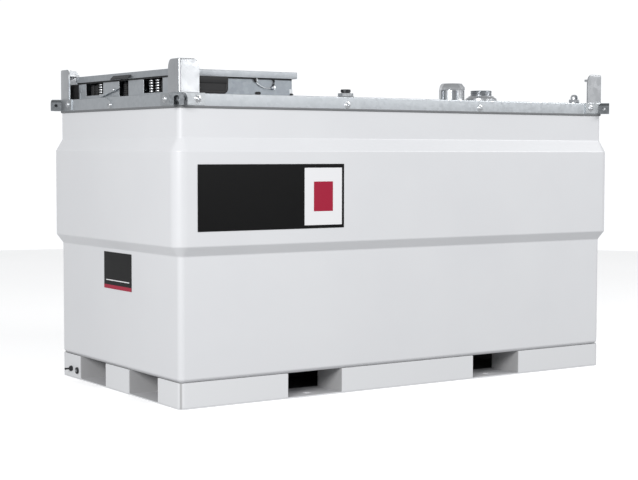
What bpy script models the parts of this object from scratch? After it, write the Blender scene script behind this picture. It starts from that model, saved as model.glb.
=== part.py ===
"""Transportable double-walled fuel storage tank: rectangular steel body with a raised belly, four-way fork
pockets, bolted galvanised top cover, corner stacking posts, lifting eyes and a low equipment cabinet.

Metres, +Z up. The origin is the centre of the footprint on the ground, +X runs along the long side and the
cabinet stands at the -X end. Every piece is its own object, and every piece that touches another keeps GAP.
"""

import math

import bmesh
import bpy

# Tank body, outside sizes of its straight walls
LENGTH = 2.30
WIDTH = 1.14
CORNER_RADIUS = 0.025
BELLY_DEPTH = 0.0295
HALF_LENGTH = LENGTH / 2
HALF_WIDTH = WIDTH / 2

# Levels of the body
PLATE_THICKNESS = 0.005
SKIRT_TOP = 0.107
TURN_IN_TOP = 0.120
TURN_IN_DEPTH = 0.010
CORNER_FACETS = 7
FLOOR_CLEARANCE = 0.002
FLOOR_CORNER_RADIUS = 0.012
BELLY_START = 0.6146
BELLY_BOTTOM = 0.654
BELLY_TOP = 1.035
BELLY_END = 1.088
COVER_BOTTOM = 1.208
COVER_TOP = 1.266

# Sheets and the clearance between touching pieces
GAP = 0.0003
WALL_THICKNESS = 0.004
CABINET_SHEET = 0.003
COVER_OFFSET = 0.0043
CUT_PAST = 0.010

# Fork pockets, as |X| and |Y| of their side walls
POCKET_X = (0.3625, 0.6375)
POCKET_Y = (0.1125, 0.3775)
FLOOR_HOLE_X = 0.5
FLOOR_HOLE_RADIUS = 0.0175
FLOOR_HOLE_INSET = 0.067

# Corner posts with a stacking seat
POST_FLANGE = 0.092
POST_THICKNESS = 0.008
POST_TOP = 1.403
POST_CHAMFER = (0.025, 0.036)
SEAT_BOTTOM = 1.371
SEAT_THICKNESS = 0.010
SEAT_SIZE = 0.078
GUSSET_DEPTH = 0.033
GUSSET_WIDTHS = (0.018, 0.048)
GUSSET_THICKNESS = 0.006

# Corner brackets and their lifting eyes
BRACKET_THICKNESS = 0.005
BRACKET_LEGS = (0.1230, 0.1500)
BRACKET_LEVELS = (1.219, 1.267)
EYE_WIDTH = 0.060
EYE_SLOT = 0.022
EYE_REACH = 0.022
EYE_LEVELS = (1.217, 1.269)
EYE_ROOT = 0.034
EYE_CROWN = 0.014
EYE_CROWN_RADIUS = 0.020
EYE_SLOT_CHAMFER = 0.006
EYE_HOLE_RADIUS = 0.008
EYE_HOLE_LEVEL = 1.241
EYE_HOLE_PLACE = -0.004
EYE_WELD_DEPTH = 0.001

# Equipment cabinet at the -X end and its lid
CABINET_X = (-1.110, -0.547)
CABINET_HALF_WIDTH = 0.455
LID_X = (-1.120, -0.525)
LID_HALF_WIDTH = 0.465
LID_LEVELS = (1.341, 1.368)
HOSE_SLOTS = ((0.202, 0.378, 1.281), (-0.045, 0.044, 1.270), (-0.356, -0.187, 1.276))
HINGE_RADIUS = 0.006
HINGE_LEVEL = 1.350
HINGE_X = -0.5343
HINGE_LENGTH = 0.070
HINGE_PLACE = 0.300
HINGE_LEAF_FOOT = 1.305
HINGE_ARM_LEVELS = (1.3445, 1.349)
PULL_Y = (-0.087, 0.080)
PULL_LEVELS = (1.340, 1.358)
PULL_REACH = 0.014
PULL_THICKNESS = 0.005

# Fittings of the cabinet
BOOT_X = (-1.110, -0.918)
BOOT_REACH = 0.560
BOOT_TOP = 1.336
BOOT_RADIUS = 0.022
LEVER_ENDS = ((0.0235, 1.310), (0.218, 1.2745))
LEVER_PIVOT_Y = 0.075
LEVER_HALF_WIDTH = 0.006
LEVER_THICKNESS = 0.004
LEVER_STANDOFF = 0.006
LEVER_STUD_RADIUS = 0.005
COUPLING_X = -1.090
COUPLING_Y = (0.258, -0.227, -0.284)
COUPLING_RADIUS = 0.0115
COUPLING_RIB_DEPTH = 0.003
COUPLING_RIBS = 6
COUPLING_PITCH = 0.0105
COUPLING_FOOT = (0.0135, 0.006)
COUPLING_TOP = 1.342
CATCH_ROUTE = ((-0.736, 1.337), (-0.726, 1.322), (-0.710, 1.308), (-0.690, 1.300), (-0.670, 1.299),
               (-0.650, 1.301))
CATCH_WIRE_RADIUS = 0.0025
CATCH_KNOB = (-0.642, 1.301)
CATCH_KNOB_RADIUS = 0.009
CATCH_KNOB_LENGTH = 0.010

# Fittings on the cover, as X and Y of their axes
FILL_PORT = (0.623, -0.30)
RELIEF_VENT = (0.446, -0.30)
GAUGE_PLUG = (-0.162, -0.30)
VENT_DOME = (1.064, -0.47)

# Drains low on the -X end, as Y and Z of their axes
DRAIN_PLUG = (0.406, 0.039)
DRAIN_VALVE = (0.466, 0.042)

STEEL_WHITE = (0.86, 0.86, 0.88)
GALVANISED = (0.47, 0.49, 0.51)
BRIGHT_ZINC = (0.66, 0.67, 0.68)
RUBBER_BLACK = (0.025, 0.025, 0.028)
BLACK_STEEL = (0.06, 0.06, 0.065)

ROUND_STEPS = 24


def clear_scene():
    for old in list(bpy.data.objects):
        bpy.data.objects.remove(old, do_unlink=True)


def collection(name):
    group = bpy.data.collections.new(name)
    bpy.context.scene.collection.children.link(group)
    return group


def material(name, colour, roughness, metallic):
    made = bpy.data.materials.new(name)
    made.use_nodes = True
    shader = made.node_tree.nodes["Principled BSDF"]
    shader.inputs["Base Color"].default_value = (*colour, 1.0)
    shader.inputs["Roughness"].default_value = roughness
    shader.inputs["Metallic"].default_value = metallic
    return made


def piece(name, mesh, finish):
    """Adds the mesh to the tank as a named piece."""
    made = bpy.data.objects.new(name, mesh)
    mesh.materials.clear()
    mesh.materials.append(finish)
    TANK.objects.link(made)
    return made


def smooth(thing, degrees=35):
    thing.data.shade_smooth()
    thing.data.set_sharp_from_angle(angle=math.radians(degrees))
    return thing


def as_cutter(thing):
    """Turns a piece into a hidden helper for a Boolean."""
    TANK.objects.unlink(thing)
    CUTTERS.objects.link(thing)
    thing.hide_render = True
    thing.display_type = "WIRE"
    return thing


def combine(thing, other, operation):
    modifier = thing.modifiers.new(other.name, "BOOLEAN")
    modifier.operation = operation
    modifier.object = as_cutter(other)
    return thing


def box_mesh(name, low, high):
    """A box between two corners, whose coordinates may come in either order."""
    lows = [min(a, b) for a, b in zip(low, high)]
    highs = [max(a, b) for a, b in zip(low, high)]
    shape = bmesh.new()
    bmesh.ops.create_cube(shape, size=1.0)
    for vertex in shape.verts:
        for axis in range(3):
            middle = (lows[axis] + highs[axis]) / 2
            vertex.co[axis] = middle + vertex.co[axis] * (highs[axis] - lows[axis])
    mesh = bpy.data.meshes.new(name)
    shape.to_mesh(mesh)
    shape.free()
    return mesh


def box(name, low, high, finish):
    return piece(name, box_mesh(name, low, high), finish)


def arc(centre, radius, start, end, steps):
    """Points on an arc, with its angles in degrees."""
    points = []
    for step in range(steps + 1):
        angle = math.radians(start + (end - start) * step / steps)
        points.append((centre[0] + radius * math.cos(angle), centre[1] + radius * math.sin(angle)))
    return points


def circle(centre, radius, points=12):
    return arc(centre, radius, 0, 360 - 360 / points, points - 1)


def rounded_rectangle(low, high, radii, steps=6):
    """An outline whose corners, from low-low anticlockwise, have their own radii; 0 keeps one sharp."""
    corners = ((low[0], low[1], 1, 1, 180), (high[0], low[1], -1, 1, 270),
               (high[0], high[1], -1, -1, 0), (low[0], high[1], 1, -1, 90))
    points = []
    for (x, y, inward_x, inward_y, start), radius in zip(corners, radii):
        if radius:
            centre = (x + inward_x * radius, y + inward_y * radius)
            points += arc(centre, radius, start, start + 90, steps)
        else:
            points.append((x, y))
    return points


def extruded(name, outlines, depth, place, finish):
    """A flat outline, with holes where it has more than one, drawn out over depth.

    place turns a point of the outline and its height over it into world coordinates.
    """
    curve = bpy.data.curves.new(name, "CURVE")
    curve.dimensions = "2D"
    curve.fill_mode = "BOTH"
    curve.extrude = depth / 2
    for outline in outlines:
        spline = curve.splines.new("POLY")
        spline.points.add(len(outline) - 1)
        for point, (u, v) in zip(spline.points, outline):
            point.co = (u, v, 0, 1)
        spline.use_cyclic_u = True
    guide = bpy.data.objects.new(name, curve)
    bpy.context.scene.collection.objects.link(guide)
    graph = bpy.context.evaluated_depsgraph_get()
    mesh = bpy.data.meshes.new_from_object(guide.evaluated_get(graph))
    bpy.data.objects.remove(guide)
    shape = bmesh.new()
    shape.from_mesh(mesh)
    bmesh.ops.remove_doubles(shape, verts=shape.verts, dist=0.00001)
    for vertex in shape.verts:
        vertex.co = place(vertex.co.x, vertex.co.y, vertex.co.z + depth / 2)
    shape.normal_update()
    bmesh.ops.recalc_face_normals(shape, faces=shape.faces)
    if shape.calc_volume(signed=True) < 0:
        bmesh.ops.reverse_faces(shape, faces=shape.faces)
    shape.to_mesh(mesh)
    shape.free()
    mesh.name = name
    return piece(name, mesh, finish)


def turned(name, profile, location, finish, rotation=(0, 0, 0), steps=ROUND_STEPS):
    """A turned piece: profile holds (radius, height) from the top of the axis down to its foot."""
    mesh = bpy.data.meshes.new(name)
    edges = [(index, index + 1) for index in range(len(profile) - 1)]
    mesh.from_pydata([(radius, 0, height) for radius, height in profile], edges, [])
    made = piece(name, mesh, finish)
    screw = made.modifiers.new("Turn", "SCREW")
    screw.steps = steps
    screw.render_steps = steps
    screw.use_merge_vertices = True
    screw.merge_threshold = 0.00005
    made.location = location
    made.rotation_euler = rotation
    return made


def sheet(name, plan, levels, outward, finish):
    """A bent steel sheet: plan(offset) gives its line at each (level, offset), and it thickens inward."""
    columns = len(plan(0))
    shape = bmesh.new()
    grid = bmesh.ops.create_grid(shape, x_segments=columns - 1, y_segments=len(levels) - 1, size=0.5)
    for vertex in grid["verts"]:
        column = round((vertex.co.x + 0.5) * (columns - 1))
        level, offset = levels[round((vertex.co.y + 0.5) * (len(levels) - 1))]
        x, y = plan(offset)[column]
        vertex.co = (x, y, level)
    shape.normal_update()
    facing = sum((face.normal.x * outward[0] + face.normal.y * outward[1]) * face.calc_area()
                 for face in shape.faces)
    if facing < 0:
        bmesh.ops.reverse_faces(shape, faces=shape.faces)
    mesh = bpy.data.meshes.new(name)
    shape.to_mesh(mesh)
    shape.free()
    made = piece(name, mesh, finish)
    solid = made.modifiers.new("Thickness", "SOLIDIFY")
    solid.thickness = WALL_THICKNESS
    solid.offset = -1
    solid.use_even_offset = True
    return made


def tray(name, low, high, radius, thickness, finish, steps=4):
    """An upside-down tray: a top sheet with its four edges folded down, thickening inward."""
    shape = bmesh.new()
    outline = rounded_rectangle(low[:2], high[:2], (radius,) * 4, steps)
    top = [shape.verts.new((x, y, high[2])) for x, y in outline]
    rim = bmesh.ops.extrude_face_region(shape, geom=[shape.faces.new(top)])
    moved = [item for item in rim["geom"] if isinstance(item, bmesh.types.BMVert)]
    for vertex in moved:
        vertex.co.z = low[2]
    bottom = [item for item in rim["geom"] if isinstance(item, bmesh.types.BMFace)]
    bmesh.ops.delete(shape, geom=bottom, context="FACES_ONLY")
    shape.normal_update()
    highest = max(shape.faces, key=lambda face: face.calc_center_median().z)
    if highest.normal.z < 0:
        bmesh.ops.reverse_faces(shape, faces=shape.faces)
    mesh = bpy.data.meshes.new(name)
    shape.to_mesh(mesh)
    shape.free()
    made = piece(name, mesh, finish)
    solid = made.modifiers.new("Thickness", "SOLIDIFY")
    solid.thickness = thickness
    solid.offset = -1
    solid.use_even_offset = True
    return made


def build_base():
    """Floor plate and the nine cells that the crossing fork pockets leave between them."""
    holes = []
    for x in (-FLOOR_HOLE_X, FLOOR_HOLE_X):
        for side in (-1, 1):
            centre = (x, side * (HALF_WIDTH - FLOOR_HOLE_INSET))
            holes.append(circle(centre, FLOOR_HOLE_RADIUS, 16))
    outline = rounded_rectangle((-HALF_LENGTH, -HALF_WIDTH), (HALF_LENGTH, HALF_WIDTH), (CORNER_RADIUS,) * 4)
    extruded("base_plate", [outline, *holes], PLATE_THICKNESS, lambda u, v, w: (u, v, w), WHITE)

    columns = {"left": (-HALF_LENGTH, -POCKET_X[1]), "middle": (-POCKET_X[0], POCKET_X[0]),
               "right": (POCKET_X[1], HALF_LENGTH)}
    rows = {"front": (-HALF_WIDTH, -POCKET_Y[1]), "middle": (-POCKET_Y[0], POCKET_Y[0]),
            "back": (POCKET_Y[1], HALF_WIDTH)}
    names = {("middle", "middle"): "base_cell_centre", ("middle", "front"): "skirt_front",
             ("middle", "back"): "skirt_back", ("left", "middle"): "skirt_left_end",
             ("right", "middle"): "skirt_right_end"}
    low_level = PLATE_THICKNESS + GAP
    for column, (x0, x1) in columns.items():
        for row, (y0, y1) in rows.items():
            name = names.get((column, row), f"skirt_corner_{row}_{column}")
            corners = (("left", "front"), ("right", "front"), ("right", "back"), ("left", "back"))
            radii = [CORNER_RADIUS if (column, row) == corner else 0 for corner in corners]
            extruded(name, [rounded_rectangle((x0, y0), (x1, y1), radii)], SKIRT_TOP - GAP - low_level,
                     lambda u, v, w: (u, v, w + low_level), WHITE)


def body_levels():
    """Levels and offsets of the body's walls, from the turned-in foot to the edge under the cover."""
    return [(SKIRT_TOP, -TURN_IN_DEPTH), (TURN_IN_TOP, 0), (BELLY_START, 0), (BELLY_BOTTOM, BELLY_DEPTH),
            (BELLY_TOP, BELLY_DEPTH), (BELLY_END, 0), (COVER_TOP - WALL_THICKNESS - GAP, 0)]


def to_mitre(offset, start):
    """Half of the rounded corner at +X +Y, from the wall at start degrees to the mitre in its middle facet."""
    centre = (HALF_LENGTH - CORNER_RADIUS, HALF_WIDTH - CORNER_RADIUS)
    corner = arc(centre, CORNER_RADIUS + offset, start, 90 - start, CORNER_FACETS)
    half, beyond = corner[:CORNER_FACETS // 2 + 1], corner[CORNER_FACETS // 2 + 1]
    reach = 0.5 - GAP / 2 / math.dist(half[-1], beyond)
    mitre = tuple(near + (far - near) * reach for near, far in zip(half[-1], beyond))
    return [*half, mitre]


def build_body():
    """Floor and the four walls, which meet in a mitre at each rounded corner."""
    levels = body_levels()

    def long_wall(side):
        def plan(offset):
            half = to_mitre(offset, 90)
            line = [(-x, y) for x, y in reversed(half)] + half
            return [(x, side * y) for x, y in line]
        return plan

    def end_wall(side):
        def plan(offset):
            half = to_mitre(offset, 0)
            line = [(x, -y) for x, y in reversed(half)] + half
            return [(side * x, y) for x, y in line]
        return plan

    smooth(sheet("front_wall", long_wall(-1), levels, (0, -1), WHITE), 25)
    smooth(sheet("back_wall", long_wall(1), levels, (0, 1), WHITE), 25)
    smooth(sheet("left_end_wall", end_wall(-1), levels, (-1, 0), WHITE), 25)
    smooth(sheet("right_end_wall", end_wall(1), levels, (1, 0), WHITE), 25)

    inset = TURN_IN_DEPTH + WALL_THICKNESS + FLOOR_CLEARANCE
    low = (-HALF_LENGTH + inset, -HALF_WIDTH + inset)
    high = (HALF_LENGTH - inset, HALF_WIDTH - inset)
    extruded("tank_floor", [rounded_rectangle(low, high, (FLOOR_CORNER_RADIUS,) * 4, 4)], WALL_THICKNESS,
             lambda u, v, w: (u, v, SKIRT_TOP + w), WHITE)


def build_cover():
    """Galvanised cover: one sheet whose edges fold down over the top of the walls."""
    low = (-HALF_LENGTH - COVER_OFFSET, -HALF_WIDTH - COVER_OFFSET, COVER_BOTTOM)
    high = (HALF_LENGTH + COVER_OFFSET, HALF_WIDTH + COVER_OFFSET, COVER_TOP)
    radius = CORNER_RADIUS + COVER_OFFSET
    smooth(tray("top_cover", low, high, radius, WALL_THICKNESS, ZINC, 6), 25)


def build_corner(label, side_x, side_y):
    """Bracket, lifting eye and stacking post of one corner."""

    def from_corner(distance_x, distance_y, z, offset=0.0):
        return (side_x * (HALF_LENGTH + offset - distance_x), side_y * (HALF_WIDTH + offset - distance_y), z)

    outer = COVER_OFFSET + GAP + BRACKET_THICKNESS
    inner = BRACKET_THICKNESS
    leg_x, leg_y = BRACKET_LEGS
    outline = [(0, 0), (leg_x, 0), (leg_x, inner), (inner, inner), (inner, leg_y), (0, leg_y)]
    bracket = extruded(f"lifting_bracket_{label}", [outline], BRACKET_LEVELS[1] - BRACKET_LEVELS[0],
                       lambda u, v, w: from_corner(u, v, BRACKET_LEVELS[0] + w, outer), ZINC_BRIGHT)
    combine(bracket, build_eye(label, side_x, side_y, outer), "UNION")

    width, drop = POST_CHAMFER
    foot = COVER_TOP + GAP
    flange = [(0, foot), (POST_FLANGE, foot), (POST_FLANGE, POST_TOP - drop),
              (POST_FLANGE - width, POST_TOP), (0, POST_TOP)]
    post = extruded(f"stacking_post_{label}", [flange], POST_THICKNESS,
                    lambda u, v, w: from_corner(u, w, v), ZINC)
    other = extruded(f"flange_{label}", [flange], POST_THICKNESS,
                     lambda u, v, w: from_corner(w, u, v), ZINC)
    combine(post, other, "UNION")
    root = POST_THICKNESS / 2
    seat_outline = [(root, root), (SEAT_SIZE, root), (SEAT_SIZE, SEAT_SIZE / 2),
                    (SEAT_SIZE / 2, SEAT_SIZE), (root, SEAT_SIZE)]
    seat = extruded(f"seat_{label}", [seat_outline], SEAT_THICKNESS,
                    lambda u, v, w: from_corner(u, v, SEAT_BOTTOM + w), ZINC)
    combine(post, seat, "UNION")
    top = SEAT_BOTTOM + SEAT_THICKNESS / 2
    bottom = SEAT_BOTTOM - GUSSET_DEPTH
    gusset_outline = [(root, top), (GUSSET_WIDTHS[1], top), (root + GUSSET_WIDTHS[0], bottom), (root, bottom)]

    def along_diagonal(u, v, w):
        aside = (w - GUSSET_THICKNESS / 2) * math.sqrt(0.5)
        return from_corner(u + aside, u - aside, v)

    gusset = extruded(f"gusset_{label}", [gusset_outline], GUSSET_THICKNESS, along_diagonal, ZINC)
    combine(post, gusset, "UNION")


def build_eye(label, side_x, side_y, offset):
    """A lifting lug set on the bracket's corner: an arch across the diagonal, cross-drilled for a pin."""
    corner = (side_x * (HALF_LENGTH + offset), side_y * (HALF_WIDTH + offset))
    unit = math.sqrt(0.5)

    def across(reach, aside, z):
        """World point from its reach out along the diagonal and its distance aside from it."""
        return (corner[0] + side_x * unit * (reach + aside), corner[1] + side_y * unit * (reach - aside), z)

    half = EYE_WIDTH / 2
    slot = EYE_SLOT / 2
    low, high = EYE_LEVELS
    slot_top = high - EYE_CROWN
    chamfer = EYE_SLOT_CHAMFER
    radius = EYE_CROWN_RADIUS
    arch = [(-half, low), (-slot, low), (-slot, slot_top - chamfer), (-slot + chamfer, slot_top),
            (slot - chamfer, slot_top), (slot, slot_top - chamfer), (slot, low), (half, low)]
    arch += arc((half - radius, high - radius), radius, 0, 90, 5)
    arch += arc((-half + radius, high - radius), radius, 90, 180, 5)
    eye = extruded(f"lifting_eye_{label}", [arch], EYE_ROOT + EYE_REACH,
                   lambda u, v, w: across(w - EYE_ROOT, u, v), ZINC_BRIGHT)
    weld = EYE_WELD_DEPTH
    leg = max(BRACKET_LEGS)
    notch = box(f"eye_notch_{label}", (corner[0] - side_x * weld, corner[1] - side_y * weld, low - CUT_PAST),
                (corner[0] - side_x * leg, corner[1] - side_y * leg, high + CUT_PAST), ZINC_BRIGHT)
    combine(eye, notch, "DIFFERENCE")
    outline = circle((EYE_HOLE_PLACE, EYE_HOLE_LEVEL), EYE_HOLE_RADIUS)
    hole = extruded(f"eye_hole_{label}", [outline], EYE_WIDTH + 2 * CUT_PAST,
                    lambda u, v, w: across(u, w - half - CUT_PAST, v), ZINC_BRIGHT)
    return combine(eye, hole, "DIFFERENCE")


def build_cabinet():
    """Four low walls on the cover; the end wall has open-topped slots for hoses."""
    x0, x1 = CABINET_X
    half = CABINET_HALF_WIDTH
    foot = COVER_TOP + GAP
    top = LID_LEVELS[1] - CABINET_SHEET - GAP
    edge = half - GAP - CABINET_SHEET
    outline = [(-edge, foot), (edge, foot), (edge, top)]
    for low_y, high_y, sill in HOSE_SLOTS:
        outline += [(high_y, top), (high_y, sill), (low_y, sill), (low_y, top)]
    outline.append((-edge, top))
    extruded("cabinet_end_wall", [outline], CABINET_SHEET, lambda u, v, w: (x0 + w, u, v), ZINC)
    box("cabinet_inner_wall", (x1 - CABINET_SHEET, -edge, foot), (x1, edge, top), ZINC)
    for label, side in (("front", -1), ("back", 1)):
        low = (x0, side * (half - CABINET_SHEET), foot)
        box(f"cabinet_{label}_wall", low, (x1, side * half, top), ZINC)


def build_lid():
    """Lid with folded edges, its pull lip, and the two fixed hinges that it turns on."""
    low = (LID_X[0], -LID_HALF_WIDTH, LID_LEVELS[0])
    high = (LID_X[1], LID_HALF_WIDTH, LID_LEVELS[1])
    tray("cabinet_lid", low, high, CABINET_SHEET, CABINET_SHEET, ZINC, 2)
    outline = [(0, PULL_LEVELS[1]), (0, PULL_LEVELS[0] + PULL_THICKNESS), (-PULL_REACH, PULL_LEVELS[0]),
               (-PULL_REACH, PULL_LEVELS[0] + PULL_THICKNESS)]
    extruded("lid_pull", [outline], PULL_Y[1] - PULL_Y[0],
             lambda u, v, w: (LID_X[0] - GAP + u, PULL_Y[0] + w, v), DARK)
    for label, side in (("front", -1), ("back", 1)):
        middle = side * HINGE_PLACE
        ends = (middle - HINGE_LENGTH / 2, middle + HINGE_LENGTH / 2)
        profile = [(0, HINGE_LENGTH), (HINGE_RADIUS, HINGE_LENGTH), (HINGE_RADIUS, 0), (0, 0)]
        hinge = turned(f"lid_hinge_{label}", profile, (HINGE_X, ends[1], HINGE_LEVEL), ZINC,
                       (math.radians(90), 0, 0), 16)
        wall_face = CABINET_X[1] + GAP
        arm = box(f"hinge_arm_{label}", (wall_face, ends[0], HINGE_ARM_LEVELS[0]),
                  (HINGE_X, ends[1], HINGE_ARM_LEVELS[1]), ZINC)
        combine(hinge, arm, "UNION")
        leaf = box(f"hinge_leaf_{label}", (wall_face, ends[0], HINGE_LEAF_FOOT),
                   (wall_face + CABINET_SHEET, ends[1], HINGE_ARM_LEVELS[1]), ZINC)
        combine(hinge, leaf, "UNION")


def build_hose_boots():
    """Moulded rubber boots that stand on the cover beside the cabinet."""
    foot = COVER_TOP + GAP
    radii = (0.004, BOOT_RADIUS, 0.006, 0.004)
    outline = rounded_rectangle((BOOT_X[0], foot), (BOOT_X[1], BOOT_TOP), radii, 4)
    inner = CABINET_HALF_WIDTH + GAP
    for label, side in (("front", -1), ("back", 1)):
        smooth(extruded(f"hose_boot_{label}", [outline], BOOT_REACH - inner,
                        lambda u, v, w: (u, side * (inner + w), v), RUBBER))


def build_lever():
    """Flat latch lever on the end wall, turning on a stud."""
    (y0, z0), (y1, z1) = LEVER_ENDS
    slope = math.degrees(math.atan2(z1 - z0, y1 - y0))
    outline = arc((y0, z0), LEVER_HALF_WIDTH, slope + 90, slope + 270, 6)
    outline += arc((y1, z1), LEVER_HALF_WIDTH, slope - 90, slope + 90, 6)
    face = CABINET_X[0] - LEVER_STANDOFF
    lever = extruded("latch_lever", [outline], LEVER_THICKNESS,
                     lambda u, v, w: (face - w, u, v), ZINC_BRIGHT)
    pivot_z = z0 + (z1 - z0) * (LEVER_PIVOT_Y - y0) / (y1 - y0)
    stud_end = CABINET_X[0] - GAP
    stud = extruded("lever_stud", [circle((LEVER_PIVOT_Y, pivot_z), LEVER_STUD_RADIUS)],
                    stud_end - face + LEVER_THICKNESS / 2, lambda u, v, w: (stud_end - w, u, v), ZINC_BRIGHT)
    combine(lever, stud, "UNION")


def build_couplings():
    """Ribbed hose couplings that stand behind the slots of the end wall."""
    depth = COUPLING_RIB_DEPTH
    core = COUPLING_RADIUS - depth
    profile = [(0, COUPLING_TOP), (core, COUPLING_TOP)]
    for rib in range(COUPLING_RIBS):
        crest = COUPLING_TOP - depth - rib * COUPLING_PITCH
        land = crest - (COUPLING_PITCH - 2 * depth)
        profile += [(COUPLING_RADIUS, crest), (COUPLING_RADIUS, land), (core, land - depth)]
    foot = COVER_TOP + GAP
    flange_radius, flange_height = COUPLING_FOOT
    profile += [(core, foot + flange_height), (flange_radius, foot + flange_height), (flange_radius, foot),
                (0, foot)]
    for number, y in enumerate(COUPLING_Y, 1):
        turned(f"hose_coupling_{number}", profile, (COUPLING_X, y, 0), ZINC_BRIGHT, steps=16)


def build_catches():
    """Spring catches on the cabinet's sides: a wire bail from under the lid to a knob on the wall."""
    for label, side in (("front", -1), ("back", 1)):
        y = side * (CABINET_HALF_WIDTH + GAP)
        curve = bpy.data.curves.new(f"lid_catch_{label}", "CURVE")
        curve.dimensions = "3D"
        curve.bevel_depth = CATCH_WIRE_RADIUS
        curve.bevel_resolution = 1
        curve.use_fill_caps = True
        spline = curve.splines.new("POLY")
        spline.points.add(len(CATCH_ROUTE) - 1)
        for point, (x, z) in zip(spline.points, CATCH_ROUTE):
            point.co = (x, y + side * (CATCH_WIRE_RADIUS + GAP), z, 1)
        guide = bpy.data.objects.new(curve.name, curve)
        bpy.context.scene.collection.objects.link(guide)
        graph = bpy.context.evaluated_depsgraph_get()
        mesh = bpy.data.meshes.new_from_object(guide.evaluated_get(graph))
        bpy.data.objects.remove(guide)
        shape = bmesh.new()
        shape.from_mesh(mesh)
        bmesh.ops.remove_doubles(shape, verts=shape.verts, dist=0.00001)
        shape.to_mesh(mesh)
        shape.free()
        catch = piece(f"lid_catch_{label}", mesh, ZINC_BRIGHT)
        knob = extruded(f"catch_knob_{label}", [circle(CATCH_KNOB, CATCH_KNOB_RADIUS)], CATCH_KNOB_LENGTH,
                        lambda u, v, w: (u, y + side * w, v), ZINC_BRIGHT)
        combine(catch, knob, "UNION")


def build_deck_fittings():
    """Threaded port, capped relief vent, small plug and vent dome on the cover."""
    foot = COVER_TOP + GAP
    vent = [(0, 1.3530), (0.0432, 1.3530), (0.0580, 1.3345), (0.0588, 1.3262), (0.0560, 1.3252),
            (0.0560, 1.3228), (0.0592, 1.3218), (0.0600, foot), (0, foot)]
    port = [(0, 1.3235), (0.048, 1.3235), (0.0505, 1.3210), (0.0505, 1.3000), (0.0600, 1.2980),
            (0.0745, 1.2860), (0.0745, foot), (0, foot)]
    plug = [(0, 1.3110), (0.0215, 1.3110), (0.0225, 1.3100), (0.0225, 1.2930), (0.0380, 1.2905),
            (0.0450, 1.2850), (0.0450, foot), (0, foot)]
    dome = [(0, 1.3105), (0.008, 1.3095), (0.0145, 1.3060), (0.0175, 1.3010), (0.0180, 1.2930),
            (0.0255, 1.2900), (0.0255, foot), (0, foot)]
    smooth(turned("fill_port", port, (*FILL_PORT, 0), ZINC, steps=32))
    smooth(turned("relief_vent", vent, (*RELIEF_VENT, 0), ZINC, steps=32))
    smooth(turned("gauge_plug", plug, (*GAUGE_PLUG, 0), ZINC))
    smooth(turned("vent_dome", dome, (*VENT_DOME, 0), ZINC_BRIGHT))


def build_drains():
    """Drain plug and drain valve low on the -X end."""
    face = -HALF_LENGTH - GAP
    facing_out = (0, math.radians(-90), 0)
    plug = [(0, 0.009), (0.009, 0.009), (0.010, 0.008), (0.010, 0.004), (0.015, 0.0035), (0.015, 0), (0, 0)]
    valve = [(0, 0.035), (0.0040, 0.035), (0.0045, 0.034), (0.0045, 0.014), (0.0120, 0.0135),
             (0.0130, 0.0125), (0.0130, 0), (0, 0)]
    smooth(turned("drain_plug", plug, (face, *DRAIN_PLUG), ZINC, facing_out, 16))
    smooth(turned("drain_valve", valve, (face, *DRAIN_VALVE), DARK, facing_out, 16))


clear_scene()
TANK = collection("fuel_storage_tank")
CUTTERS = collection("cutters")
WHITE = material("white_coating", STEEL_WHITE, 0.35, 0.0)
ZINC = material("galvanised_steel", GALVANISED, 0.5, 1.0)
ZINC_BRIGHT = material("bright_zinc_steel", BRIGHT_ZINC, 0.35, 1.0)
RUBBER = material("black_rubber", RUBBER_BLACK, 0.7, 0.0)
DARK = material("blackened_steel", BLACK_STEEL, 0.5, 0.5)
build_base()
build_body()
build_cover()
for corner_label, corner_x, corner_y in (("front_left", -1, -1), ("front_right", 1, -1),
                                         ("back_left", -1, 1), ("back_right", 1, 1)):
    build_corner(corner_label, corner_x, corner_y)
build_cabinet()
build_lid()
build_hose_boots()
build_lever()
build_couplings()
build_catches()
build_deck_fittings()
build_drains()
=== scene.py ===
"""A transportable double-walled fuel tank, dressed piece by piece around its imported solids.

Metres, +Z up, the tank along X with its equipment cabinet at the -X end. The file follows the tank as it is put
together: body, base, cover, corner irons, cabinet, lid, deck fittings, drains, labels, and last the studio.
"""

import math

import bmesh
import bpy
from mathutils import Matrix, Vector


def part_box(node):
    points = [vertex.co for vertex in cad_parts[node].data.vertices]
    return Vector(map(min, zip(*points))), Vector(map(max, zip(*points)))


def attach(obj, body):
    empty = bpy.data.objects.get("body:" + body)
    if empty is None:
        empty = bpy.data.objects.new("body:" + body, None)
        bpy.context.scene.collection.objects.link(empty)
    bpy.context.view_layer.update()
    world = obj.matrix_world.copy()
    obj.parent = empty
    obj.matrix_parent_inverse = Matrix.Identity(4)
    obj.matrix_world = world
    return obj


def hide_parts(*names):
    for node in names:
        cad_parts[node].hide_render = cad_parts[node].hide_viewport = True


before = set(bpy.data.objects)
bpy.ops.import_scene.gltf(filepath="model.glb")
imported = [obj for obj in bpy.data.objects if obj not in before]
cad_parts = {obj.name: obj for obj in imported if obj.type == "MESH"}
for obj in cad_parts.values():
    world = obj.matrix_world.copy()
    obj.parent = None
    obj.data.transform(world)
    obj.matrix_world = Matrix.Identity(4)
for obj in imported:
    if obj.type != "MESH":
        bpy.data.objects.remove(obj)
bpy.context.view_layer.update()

# The body: four walls of 4 mm structural steel, folded outwards into a belly that runs round all sides and closed
# with ground seam welds at the corners. It is blasted and finished in baked polyester powder coat, a semi-gloss
# grey-white with a faint orange peel. The heat of welding draws the flat sheets in and out by half a millimetre.
SIDE_X, SIDE_Y, PLATE_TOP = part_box("base_plate")[1]
BODY_CORNER = 0.025
WALL_SHEET = 0.004
BELLY_DEPTH = 0.0295
BELLY_LEVELS = (0.6146, 0.654, 1.035, 1.088)
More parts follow.
